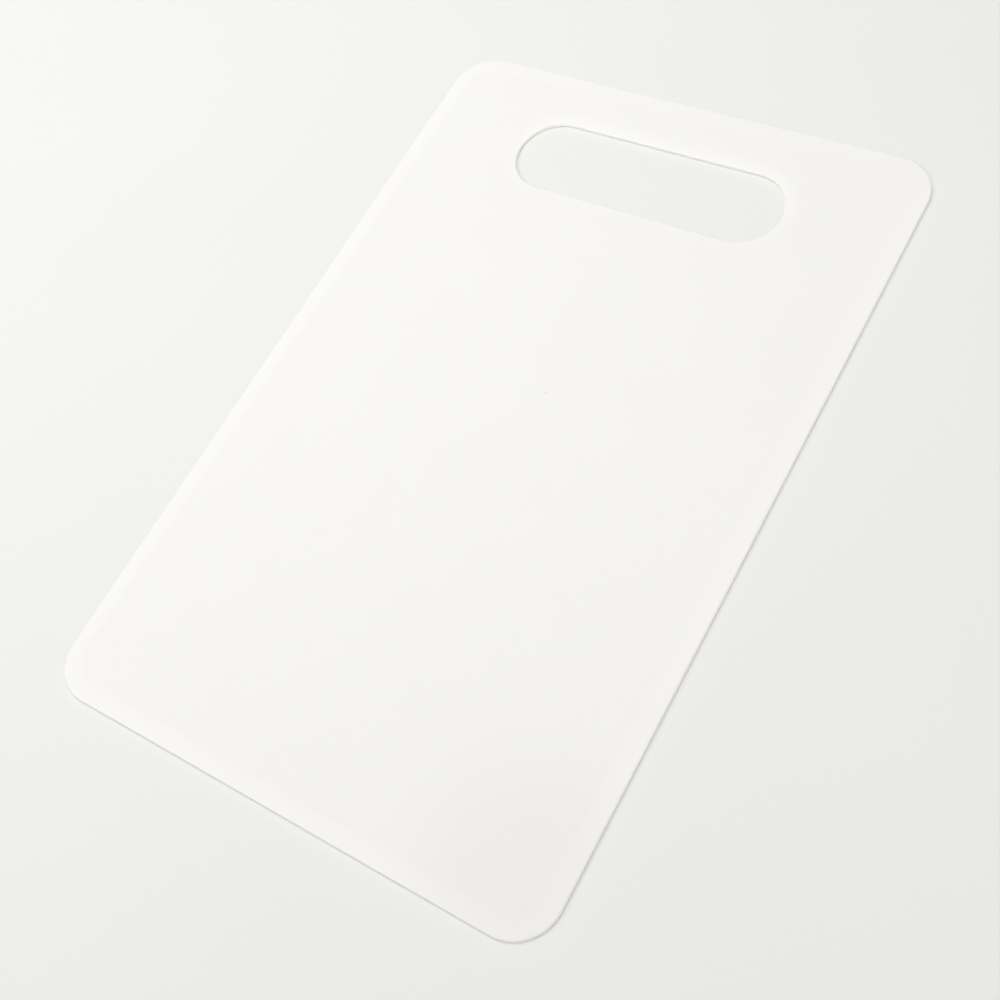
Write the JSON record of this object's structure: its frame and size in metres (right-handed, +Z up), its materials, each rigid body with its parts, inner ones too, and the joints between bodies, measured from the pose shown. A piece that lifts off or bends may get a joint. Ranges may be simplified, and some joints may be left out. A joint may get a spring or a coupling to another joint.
{
  "type": "plastic cutting board",
  "caption": "Thin flat white plastic cutting board with rounded corners, softly rolled edges and an oblong hand slot near one short end.",
  "frame": {"origin": "on the table, under the middle of the board's length and width", "axes": "+Z up through the sheet; +Y along the board towards the end with the hand slot; +X across the board"},
  "size_m": [0.2, 0.3, 0.0016],
  "materials": {
    "board_plastic": "satin, natural white, slightly translucent at the edges"
  },
  "bodies": {
    "root": {"cutting_board": "board_plastic"}
  },
  "joints": []
}
